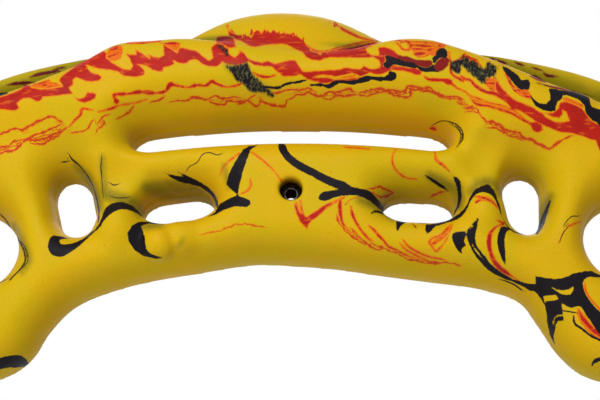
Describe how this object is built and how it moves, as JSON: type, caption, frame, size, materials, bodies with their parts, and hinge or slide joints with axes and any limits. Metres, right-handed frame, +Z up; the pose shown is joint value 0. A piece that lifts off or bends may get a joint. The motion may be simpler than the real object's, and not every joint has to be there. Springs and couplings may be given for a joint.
{
  "type": "climbing training beam",
  "caption": "Arched cast resin hangboard with a jug rail along the top, a finger slot, finger pockets and round hand holes, bolted to a wall through bonded-in washers.",
  "frame": {"origin": "on the flat wall face, on the middle of the beam, 25 mm below the centre bolt", "axes": "+X along the beam to the climber's right, +Y into the wall, +Z up; the climber stands on the -Y side"},
  "size_m": [0.72, 0.0677, 0.3571],
  "materials": {
    "resin": "matte",
    "washer_steel": "satin"
  },
  "bodies": {
    "root": {"resin_casting": "resin", "washer_centre": "washer_steel", "washer_upper_left": "washer_steel", "washer_upper_right": "washer_steel", "washer_lower_left": "washer_steel", "washer_lower_right": "washer_steel"}
  },
  "joints": []
}
